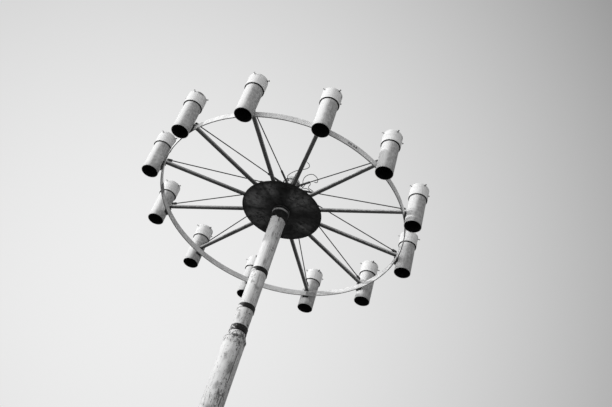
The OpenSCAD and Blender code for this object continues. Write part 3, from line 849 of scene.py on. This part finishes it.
def paint_lid():
    """White lid of the mast, darker below its lip."""
    finish = Finish("lid_paint")
    mottle = finish.patches(22.0, 5.0, 0.62, 0.36, 0.68)
    runs = finish.streaks(0.006, 0.06, 0.50, 0.72)
    lip = finish.on_mast()["Height"].step(0.618, 0.626, 1.0, 0.0)
    chips = finish.chips(0.012, 0.33)["Mask"]
    tone = finish.layers(mottle.blend(0.82, 0.62), (runs, 0.5, 0.26), (lip, 0.5, 0.10),
                         (chips, 0.85, 0.09))
    relief = finish.coat(800.0, 0.3) - chips
    finish.done(tone, mottle.blend(0.45, 0.65), relief, 0.0006)


def paint_rim():
    """Light grey paint on the rim bar, with painted shade along its lower edge and on its downward
    faces.
    """
    finish = Finish("rim_grey", specular=0.3)
    mottle = finish.patches(12.0, 5.0, 0.62, 0.35, 0.68)
    runs = finish.streaks(0.012, 0.09, 0.48, 0.72)
    torn = finish.place.noise(60.0, 3.0, 0.6) * 0.012
    height = finish.on_mast()["Height"] - torn
    # Painted shade: darker along the bar's lower edge and on its downward faces
    low_edge_shade = height.step(0.104, 0.114, 1.0, 0.0)
    down = finish.normal.parts()[2].step(-0.9, -0.5, 1.0, 0.0)
    chips = finish.chips(0.014, 0.315, 0.8)["Mask"]
    tone = finish.layers(mottle.blend(0.88, 0.74), (runs, 0.28, 0.36), (low_edge_shade, 0.45, 0.16),
                         (down, 0.80, 0.10), (chips, 0.80, 0.10))
    relief = finish.coat(800.0, 0.3) - chips
    finish.done(tone, mottle.blend(0.48, 0.68), relief, 0.0006)


def paint_spokes():
    """Dark spoke tubes, paler towards the rim, with bleaching and painted light on their tops and
    sides, which the dust mask adds to.
    """
    finish = Finish("spoke_paint", specular=0.25)
    out = finish.on_mast()["Out"]
    patchy = finish.place.noise(38.0, 5.0, 0.66)
    outward = out.step(0.45, 1.30)
    ragged = (patchy - 0.5) * 0.9
    # Painted light together with real bleaching: tops and sides turn pale over the dark underside
    sides = (finish.normal.parts()[2] + ragged).step(-0.72, -0.15)
    east = finish.place.parts()[0].step(-0.20, 0.50)
    bleach_and_top_light = out.step(0.45, 0.95, 0.45, 0.90) * east.blend(0.62, 1.0)
    chips = finish.chips(0.014, 0.36)["Mask"]
    tone = finish.layers(patchy.step(0.32, 0.70, 0.030, 0.065), (outward, 0.45, 0.11),
                         (sides, bleach_and_top_light, 0.70), (finish.dust(26.0), 0.60, 0.62),
                         (chips, 0.7, 0.26))
    finish.done(tone, patchy.step(0.3, 0.7, 0.50, 0.75), patchy - chips, 0.0005)


def worn_metal(name, coat, bare, share, size, grain, rough, metallic=0.0, dusty=0.3):
    """Dull coated metal whose coat is lost in chips and dusty on top."""
    finish = Finish(name, metallic=metallic, specular=0.25)
    patchy = finish.place.noise(grain, 5.0, 0.65)
    chips = finish.chips(size, share)["Mask"]
    tone = finish.layers(patchy.step(0.32, 0.70, 0.65 * coat, 1.35 * coat),
                         (finish.dust(grain), dusty, 0.30), (chips, 0.85, bare))
    rough = patchy.step(0.3, 0.7, rough - 0.1, rough + 0.15)
    finish.done(tone, rough, patchy - chips, 0.0004)


def paint_cap_bolts():
    """The clamp bolts, pale grey on the sun's side as painted sunlight and dark on the other side as
    painted shade.
    """
    finish = Finish("cap_bolt_paint", specular=0.3)
    patchy = finish.place.noise(120.0, 4.0, 0.6)
    # Painted light and shade: bare is the dark grey of the shaded side, paint the pale grey of the
    # sunlit side
    bare = patchy.step(0.3, 0.7, 0.06, 0.20)
    paint = patchy.step(0.3, 0.7, 0.50, 0.66)
    chips = finish.chips(0.005, 0.40)["Mask"]
    tone = finish.lamp_sunlit_side(finish.on_lamp()).blend(bare, paint)
    tone = finish.layers(tone, (chips, 0.8, 0.08))
    finish.done(tone, patchy.step(0.3, 0.7, 0.45, 0.7), patchy - chips, 0.0004)


# Worn metals: coat, bare metal, share of chips and their size, grain, roughness
WORN_METALS = {
    "stay_steel": (0.055, 0.20, 0.34, 0.008, 60.0, 0.60),
    "collar_steel": (0.10, 0.30, 0.37, 0.010, 40.0, 0.62),
    "bracket_black": (0.026, 0.16, 0.33, 0.012, 40.0, 0.66),
    "splice_steel": (0.30, 0.09, 0.37, 0.010, 45.0, 0.62),
    "holder_soot": (0.030, 0.09, 0.33, 0.008, 50.0, 0.70),
    "pin_steel": (0.09, 0.28, 0.40, 0.004, 150.0, 0.50),
    "pale_weld": (0.66, 0.20, 0.37, 0.006, 110.0, 0.55),
    "dark_weld": (0.060, 0.20, 0.37, 0.006, 110.0, 0.60),
    "loose_paint": (0.62, 0.18, 0.40, 0.008, 90.0, 0.70),
}


def make_finishes():
    for paint in (paint_upper_mast, paint_lower_mast, paint_bands, paint_hub, paint_cans,
                  paint_caps, paint_lid, paint_rim, paint_spokes, paint_cap_bolts):
        paint()
    for name, values in WORN_METALS.items():
        worn_metal(name, *values)
    worn_metal("flange_steel", 0.13, 0.05, 0.42, 0.030, 22.0, 0.72, dusty=0.5)
    worn_metal("dull_zinc", 0.34, 0.12, 0.42, 0.005, 130.0, 0.45, metallic=0.7, dusty=0.2)
    worn_metal("wire_rubber", 0.022, 0.060, 0.40, 0.006, 140.0, 0.60, dusty=0.15)
    worn_metal("wire_copper", 0.42, 0.14, 0.44, 0.002, 400.0, 0.38, metallic=0.9, dusty=0.0)


make_finishes()

# Parts of the frame by their finish
FINISHED_PARTS = {
    "flange_steel": ("base_flange",), "upper_mast_paint": ("upper_tube",),
    "lower_mast_paint": ("foot_ribs", "lower_tube", "access_door", "cone"),
    "band_tape": ("mast_bands",), "sleeve_paint": ("hub_sleeve",), "hub_paint": ("hub_plate",),
    "collar_steel": ("stay_collar",), "lid_paint": ("mast_lid",), "spoke_paint": ("spokes",),
    "stay_steel": ("stays",), "rim_grey": ("rim_segment_1", "rim_segment_2", "rim_segment_3"),
    "splice_steel": ("rim_splices",), "bracket_black": ("lamp_brackets",),
    "holder_soot": ("lamp_holders",), "cap_bolt_paint": ("cap_bolts",),
    "can_white": [f"lamp_can_{n}" for n in range(1, LAMP_COUNT + 1)],
    "cap_white": [f"lamp_cap_{n}" for n in range(1, LAMP_COUNT + 1)],
    "wire_rubber": ["wire_glands"] + [f"wire_{n}" for n in range(1, len(WIRE_ROUTES) + 1)],
}


def finish_frame():
    """Gives every part of the frame, and the wires, their finish."""
    for finish, names in FINISHED_PARTS.items():
        for name in names:
            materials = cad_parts[name].data.materials
            materials.clear()
            materials.append(FINISHES[finish])
    for wire, cores in wires:
        wire.data.materials.append(FINISHES["wire_rubber"])
        cores.data.materials.append(FINISHES["wire_copper"])


finish_frame()


# ---- welds ----
RIPPLE = 0.004
BEAD_SIDES = 8
BEAD_R = 0.42            # of a bead's width, between its ripples
SWELL = 1.22             # of a bead at the middle of each ripple
THIN_BEAD = 0.007
LUG_BEAD = 0.005
SADDLE_BEAD = 0.006
RING_STEPS = 96
# Ring welds round the mast: radius, height, width, slot and finish
RING_WELDS = {
    "shoulder_weld": (LOWER_R + 0.001, SHOULDER_Z, 0.008, "white_paint", "lower_mast_paint"),
    "sleeve_weld": (SLEEVE_R + 0.002, HUB_UNDER_Z - 0.002, 0.010, "dark_steel", "dark_weld"),
    "foot_weld": (LOWER_R + 0.003, FLANGE_TOP_Z + 0.002, 0.010, "white_paint", "pale_weld"),
}
# Stitches that hold each spoke on the hub plate and on its bracket, from the mast's axis
SPOKE_STITCHES = ((0.150, 0.205), (0.270, 0.325), (0.395, 0.450), (1.380, SPOKE_END_R))


def weld_bead(points, width, closed=False):
    """A rippled weld bead laid along points: one ripple, arrayed, then bent along them."""
    length = length_along(points + points[:1] if closed else points)
    count = max(3, round(length / RIPPLE))
    deselect()
    bpy.ops.mesh.primitive_circle_add(vertices=BEAD_SIDES, radius=BEAD_R * width,
                                      rotation=(0, math.pi / 2, 0))
    bead = bpy.context.object
    bpy.ops.object.transform_apply(rotation=True)
    edit()
    for swell in (SWELL, 1 / SWELL):
        bpy.ops.mesh.extrude_region_move(
            TRANSFORM_OT_translate={"value": (length / count / 2, 0, 0)})
        bpy.ops.transform.resize(value=(1, swell, swell), center_override=(0, 0, 0))
    bpy.ops.object.mode_set(mode="OBJECT")
    row = bead.modifiers.new("row", "ARRAY")
    row.count = count
    row.use_merge_vertices = True
    row.merge_threshold = 1e-5
    path = polyline("weld_path", points, closed)
    bead.modifiers.new("bend", "CURVE").object = path
    apply_all(bead)
    bpy.data.objects.remove(path)
    if closed:
        seal(60, merge=RIPPLE / 4)
    else:
        seal(60, hole_sides=BEAD_SIDES)
    return bead


def beads(runs, gap, width):
    """Straight beads from one (x, z) to another, on both sides of a plate that lies along X."""
    return [weld_bead([Vector((x, side * gap, z)) for x, z in run], width)
            for run in runs for side in (-1, 1)]


def make_welds():
    for name, (radius, height, width, slot, finish) in RING_WELDS.items():
        points = [around(radius, 360 * k / RING_STEPS, height) for k in range(RING_STEPS)]
        fit([weld_bead(points, width, closed=True)], [Matrix()], name, finish)

    wall, low = LOWER_R + 0.001, FLANGE_TOP_Z + 0.001
    rib_runs = [((wall, FLANGE_TOP_Z + 0.008), (wall, FLANGE_TOP_Z + RIB_H - 0.004)),
                ((LOWER_R + 0.008, low), (LOWER_R + RIB_W - 0.003, low))]
    places = [turn_by(n * 360 / ANCHOR_COUNT) for n in range(ANCHOR_COUNT)]
    fit(beads(rib_runs, RIB_T / 2 + 0.001, THIN_BEAD), places, "rib_welds", "pale_weld")

    z = DECK_Z + 0.0025
    stitches = [((start, z), (end, z)) for start, end in SPOKE_STITCHES]
    fit(beads(stitches, 0.011, THIN_BEAD), lamp_turns(), "spoke_welds", "dark_weld")

    spoke_top, collar = SPOKE_Z + SPOKE_R, UPPER_R + 0.0085
    lug_runs = [((OUTER_EYE_R - 0.014, spoke_top), (OUTER_EYE_R + 0.014, spoke_top)),
                ((collar, COLLAR_Z - 0.014), (collar, COLLAR_Z + 0.014))]
    fit(beads(lug_runs, 0.0045, LUG_BEAD), lamp_turns(), "lug_welds", "dark_weld")

    half = SADDLE_W / 2
    saddle_r = LAMP_CIRCLE_R - math.sqrt(CAN_R ** 2 - half ** 2) - 0.001
    run = ((saddle_r, SADDLE_LOW_Z + 0.003), (saddle_r, DECK_Z - 0.003))
    fit(beads([run], half + 0.001, SADDLE_BEAD), lamp_turns(), "saddle_welds",
        "bracket_black")


# ---- bolts, nuts and pins ----
ANCHOR_D = 0.024
ANCHOR_NUT_W = 0.036     # across its flats, as all nut widths here
SPLICE_BOLT_D = 0.0096
SPLICE_NUT_W = 0.016
CAP_NUT_W = 0.013
BUCKLE_NUT_W = 0.020
BUCKLE_THREAD_D = 0.0122
PIN_HEAD_R = 0.0078
PIN_R = 0.0049
SPLIT_PIN_D = 0.0013
DOOR_SIDE_TURN = 31.0    # of the door's side screws from its middle
# A split pin's line: an eye, two legs and their bent tips
SPLIT_PIN_ROUTE = ((-.0010, 0, -.0085), (-.0007, 0, .0050), (-.0022, 0, .0072), (0, 0, .0094),
                   (.0022, 0, .0072), (.0007, 0, .0050), (.0007, 0, -.0060), (.0040, 0, -.0092))


def hexagon(width, height, base=0.0):
    """A hexagon head or nut with a chamfered top, standing on a base height."""
    r = width / math.sqrt(3)
    return turned([(0.94 * r, base), (r, base + 0.10 * height), (r, base + 0.84 * height),
                   (0.88 * r, base + height)], 6)


def washer(radius, thickness, base=0.0):
    edge = 0.25 * thickness
    return turned([(radius - edge, base), (radius, base + edge),
                   (radius, base + thickness - edge), (radius - edge, base + thickness)], 20)


def threaded_end(diameter, start, end, pitch, sides=12):
    """A bolt's threaded end with a chamfered tip."""
    crest, root = diameter / 2, 0.43 * diameter
    steps = [(root, start)]
    height = start
    while height + pitch < end:
        steps += [(crest, height + 0.4 * pitch), (crest, height + 0.6 * pitch),
                  (root, height + pitch)]
        height += pitch
    steps.append((0.75 * root, end))
    return turned(steps, sides)


def make_anchor_bolts():
    """Eight anchor studs through the base flange, each with a washer and two nuts."""
    parts = [washer(0.0225, 0.004), hexagon(ANCHOR_NUT_W, 0.021, 0.004),
             hexagon(ANCHOR_NUT_W, 0.011, 0.0255), threaded_end(ANCHOR_D, 0.000, 0.058, 0.003, 16)]
    places = [Matrix.Translation(around(ANCHOR_R, (n + 0.5) * 360 / ANCHOR_COUNT, FLANGE_TOP_Z))
              @ turn_by(19 * n) for n in range(ANCHOR_COUNT)]
    fit(parts, places, "anchor_bolts", "dull_zinc")


def make_splice_bolts():
    """The bolts that hold the rim's joints: heads inside, washers and nuts outside."""
    reach = RIM_OUT_R - SPLICE_IN_R
    head = hexagon(SPLICE_NUT_W, 0.0065)
    head.data.transform(turn_by(180, "X"))
    shank = turned([(SPLICE_BOLT_D / 2, -0.001), (SPLICE_BOLT_D / 2, reach)], 14)
    parts = [head, shank, washer(0.010, 0.0018, reach),
             hexagon(SPLICE_NUT_W, 0.008, reach + 0.0018),
             threaded_end(SPLICE_BOLT_D, reach, reach + 0.015, 0.0016)]
    spots = [(turn, share) for turn in SPLICE_TURNS for share in SPLICE_BOLTS]
    spots.remove((SPLICE_TURNS[0], SPLICE_BOLTS[-1]))   # it would stand under a saddle
    places = [facing(SPLICE_IN_R, turn + share * SPLICE_HALF, RIM_MID_Z, 13 * share)
              for turn, share in spots]
    fit(parts, places, "rim_joint_bolts", "dull_zinc")


def make_cap_nuts():
    """Lock nuts on the cap bolts, tight against each cap's wall."""
    places = []
    for lamp, cap_turn in enumerate(CAP_TURNS):
        axis = around(LAMP_CIRCLE_R, lamp * LAMP_STEP, CAP_BOLT_Z)
        for k in range(CAP_BOLTS):
            way = around(1, cap_turn + k * 360 / CAP_BOLTS, 0)
            places.append(aimed(axis + way * (CAP_R - 0.0002), way, 7 * lamp + 23 * k))
    fit([washer(0.0085, 0.0014), hexagon(CAP_NUT_W, 0.0055, 0.0014)], places,
        "cap_lock_nuts", "cap_bolt_paint")


def stay_frames():
    """For each stay: its collar eye, its spoke eye and the direction between them."""
    for n in range(LAMP_COUNT):
        inner = around(INNER_EYE_R, n * LAMP_STEP, COLLAR_Z)
        outer = around(OUTER_EYE_R, n * LAMP_STEP, OUTER_EYE_Z)
        yield inner, outer, (outer - inner).normalized()


def make_turnbuckle_nuts():
    places = []
    for k, (inner, _, way) in enumerate(stay_frames()):
        places.append(aimed(inner + TURNBUCKLE_FROM * way, -way, 17 * k))
        places.append(aimed(inner + TURNBUCKLE_TO * way, way, 29 * k))
    fit([hexagon(BUCKLE_NUT_W, 0.009), threaded_end(BUCKLE_THREAD_D, 0.008, 0.024, 0.0018)],
        places, "turnbuckle_nuts", "stay_steel")


def make_fork_pins():
    """Headed pins through the stays' forks, each kept in by a washer and a split pin."""
    far = FORK_HALF_W
    head = turned([(0.0062, far), (PIN_HEAD_R, far + 0.0008), (PIN_HEAD_R, far + 0.0026),
                   (0.0064, far + 0.0034)], 16)
    tail = turned([(PIN_R, -far), (PIN_R, -far - 0.0070), (0.0040, -far - 0.0082)], 14)
    ring = washer(PIN_HEAD_R, 0.0014, -far - 0.0014)
    route = smooth_route([Vector(p) for p in SPLIT_PIN_ROUTE], 0.0016)
    key = swept("split_pin", route, SPLIT_PIN_D, 1)
    key.data.transform(Matrix.Translation((0, 0, -far - 0.0042)) @ turn_by(90, "X"))
    places = []
    for k, (inner, outer, way) in enumerate(stay_frames()):
        across = way.cross(Vector((0, 0, 1))).normalized()
        for eye in (inner, outer):
            places.append(aimed(eye, across if k % 3 else -across, 40 * k))
    fit([head, tail, ring, key], places, "fork_pins", "pin_steel")


def make_door_screws():
    """Button screws with a sunk drive round the access door's lap."""
    dome = turned([(0.0075, -0.0030), (0.0075, 0.0002), (0.0068, 0.0018), (0.0050, 0.0030),
                   (0.0030, 0.0034)], 20)
    take(dome)
    bpy.ops.object.mode_set(mode="EDIT")
    mesh = bmesh.from_edit_mesh(dome.data)
    for face in mesh.faces:
        face.select_set(face.normal.z > 0.98)
    bmesh.update_edit_mesh(dome.data)
    bpy.ops.mesh.inset(thickness=0.0006)
    bpy.ops.mesh.extrude_region_move(TRANSFORM_OT_translate={"value": (0, 0, -0.0016)})
    bpy.ops.object.mode_set(mode="OBJECT")
    places = [facing(DOOR_FACE_Y, 90, z) for z in (DOOR_LOW_Z - 0.007, DOOR_HIGH_Z + 0.007)]
    places += [facing(DOOR_FACE_Y, 90 - side * DOOR_SIDE_TURN, z)
               for side in (-1, 1) for z in (DOOR_LOW_Z + 0.10, DOOR_HIGH_Z - 0.10)]
    fit([dome], places, "door_screws", "dull_zinc")


def make_gland_rings():
    """Domed lock rings round the wire glands."""
    ring = turned([(0.0082, 0.0), (0.0092, 0.0008), (0.0092, 0.0026), (0.0076, 0.0036)], 10)
    places = [facing(UPPER_R + 0.0048, turn, MOUTH_Z + GLAND_Z, turn) for turn in GLAND_DIRS]
    fit([ring], places, "gland_rings", "wire_rubber")


# ---- curled paint flakes ----
# Where paint is coming off: least and greatest direction, least and greatest height
# above the lamp mouths, number of flakes
FLAKE_PLACES = ((225, 320, -1.66, -1.605, 26), (190, 250, -1.30, -1.255, 6),
                (200, 300, -0.93, -0.79, 12), (235, 300, -2.28, -2.10, 16),
                (225, 262, -1.88, -1.76, 12), (0, 180, -1.68, -1.61, 10),
                (0, 360, -3.60, -2.40, 22), (0, 360, -6.60, -4.20, 26))
FLAKE_KINDS = 4
FLAKE_SIZES = (0.010, 0.024)
FLAKE_LIFT = -6          # degrees that a flake stands off the tube
CONE_TOP_Z = SHOULDER_Z + 0.08


def flake(dice, kind):
    """A torn flake of paint, about one unit across, that curls up from its root."""
    deselect()
    bpy.ops.mesh.primitive_grid_add(x_subdivisions=5, y_subdivisions=4, size=1,
                                    location=(0.5, 0, 0))
    piece = bpy.context.object
    bpy.ops.object.transform_apply(location=True)
    bpy.ops.object.mode_set(mode="EDIT")
    for k in range(4):
        bpy.ops.mesh.select_all(action="SELECT")
        way = around(1, 35 + 85 * k + dice.uniform(-22, 22), 0)
        spot = Vector((0.5, 0, 0)) + way * dice.uniform(0.34, 0.48)
        bpy.ops.mesh.bisect(plane_co=spot, plane_no=way, clear_outer=True)
    bpy.ops.object.mode_set(mode="OBJECT")
    curl = piece.modifiers.new("curl", "SIMPLE_DEFORM")
    curl.deform_method = "BEND"
    curl.deform_axis = "Y"
    curl.angle = math.radians(-50 - 14 * kind)
    wall = piece.modifiers.new("wall", "SOLIDIFY")
    wall.thickness = 0.04
    wall.offset = 0.0
    apply_all(piece)
    return piece


def make_flakes():
    dice = random.Random(12)
    kinds = [flake(dice, kind) for kind in range(FLAKE_KINDS)]
    places = [[] for _ in kinds]
    lie = turn_by(FLAKE_LIFT, "Y")
    for low_turn, high_turn, low, high, count in FLAKE_PLACES:
        for _ in range(count):
            turn = dice.uniform(low_turn, high_turn)
            height = MOUTH_Z + dice.uniform(low, high)
            radius = UPPER_R if height > CONE_TOP_Z else LOWER_R
            size = dice.uniform(*FLAKE_SIZES)
            spin = turn_by(dice.uniform(0, 360))
            scale = Matrix.Diagonal((size, size * dice.uniform(0.6, 1.1), size, 1))
            root = facing(radius - 0.0004, turn, height)
            places[dice.randrange(FLAKE_KINDS)].append(root @ spin @ lie @ scale)
    flakes = [repeat(kind, spots, f"flakes_{k}")
              for k, (kind, spots) in enumerate(zip(kinds, places))]
    fit(flakes, [Matrix()], "paint_flakes", "loose_paint")


make_welds()
make_anchor_bolts()
make_splice_bolts()
make_cap_nuts()
make_turnbuckle_nuts()
make_fork_pins()
make_door_screws()
make_gland_rings()
make_flakes()


# ---- setting: floor, sun and sky ----
FLOOR_SIZE = 160
FLOOR_LIT = 0.50         # grey of the floor by which it lights the lamp from below
FLOOR_SEEN = 0.86        # grey that the camera sees
SUN_TURN = 179.5
SUN_RISE = 12.8
SUN_POWER = 1.80
SUN_SPREAD = 1.5
SKY_LEVEL = 0.20
GLOW_LEVEL = 1.90
GLOW_TIGHTNESS = 2.5
GLOW_TURN = 209
GLOW_RISE = 0.15         # radians
PALEST = (-0.09, 0.842, 0.53)   # where the backdrop is palest
WHITE_LIGHT = {"Color": (1, 1, 1, 1)}
PALE_SLOPE = 2.34        # how fast it darkens away from there
PALE_DROP = 1.49
FAR_LEVELS = (0.50, 0.745, 0.76, 0.27)  # nearness to that spot, from and to, and the levels there


def sky_way(turn, rise):
    """A direction in the sky, its turn in degrees and its rise in radians."""
    return around(math.cos(rise), turn, math.sin(rise))


def make_floor():
    """A plain floor, paler to the camera than to the light that it throws up."""
    deselect()
    bpy.ops.mesh.primitive_plane_add(size=FLOOR_SIZE, location=(0, 0, 0))
    floor = bpy.context.object
    floor.name = "floor"
    material = bpy.data.materials.new("floor_matt")
    material.use_nodes = True
    bench = Bench(material.node_tree)
    bench.tree.nodes.clear()
    grey = bench.seen().blend(FLOOR_LIT, FLOOR_SEEN)
    bench.node("OutputMaterial", {"Surface": bench.value("BsdfDiffuse", 0, {"Color": grey})})
    floor.data.materials.append(material)


def make_sun():
    data = bpy.data.lights.new("sun", "SUN")
    data.energy = SUN_POWER
    data.angle = math.radians(SUN_SPREAD)
    sun = added("sun", data)
    towards = sky_way(SUN_TURN, math.radians(SUN_RISE))
    sun.rotation_euler = towards.to_track_quat("Z", "Y").to_euler()
    sun.location = towards * 20


def make_sky():
    """A soft sky that glows on the sun's side, and a pale backdrop for the camera."""
    world = bpy.data.worlds.new("sky")
    bpy.context.scene.world = world
    world.use_nodes = True
    bench = Bench(world.node_tree)
    bench.tree.nodes.clear()
    way = bench.value("TexCoord", "Generated")

    towards = bench.vector("DOT_PRODUCT", way, tuple(sky_way(GLOW_TURN, GLOW_RISE)))
    glow = bench.maths("POWER", bench.most(towards, 0.0), GLOW_TIGHTNESS)
    soft = SKY_LEVEL + glow * GLOW_LEVEL
    light = bench.value("Background", 0, {"Strength": soft, **WHITE_LIGHT})

    near = bench.vector("DOT_PRODUCT", way, PALEST)
    pale = near * PALE_SLOPE - PALE_DROP
    level = bench.most(pale, near.step(*FAR_LEVELS))
    backdrop = bench.value("Background", 0, {"Strength": level, **WHITE_LIGHT})
    mix = bench.value("MixShader", 0, {0: bench.seen(), 1: light, 2: backdrop})
    bench.node("OutputWorld", {"Surface": mix})


make_floor()
make_sun()
make_sky()
bpy.context.scene.view_settings.view_transform = "Standard"
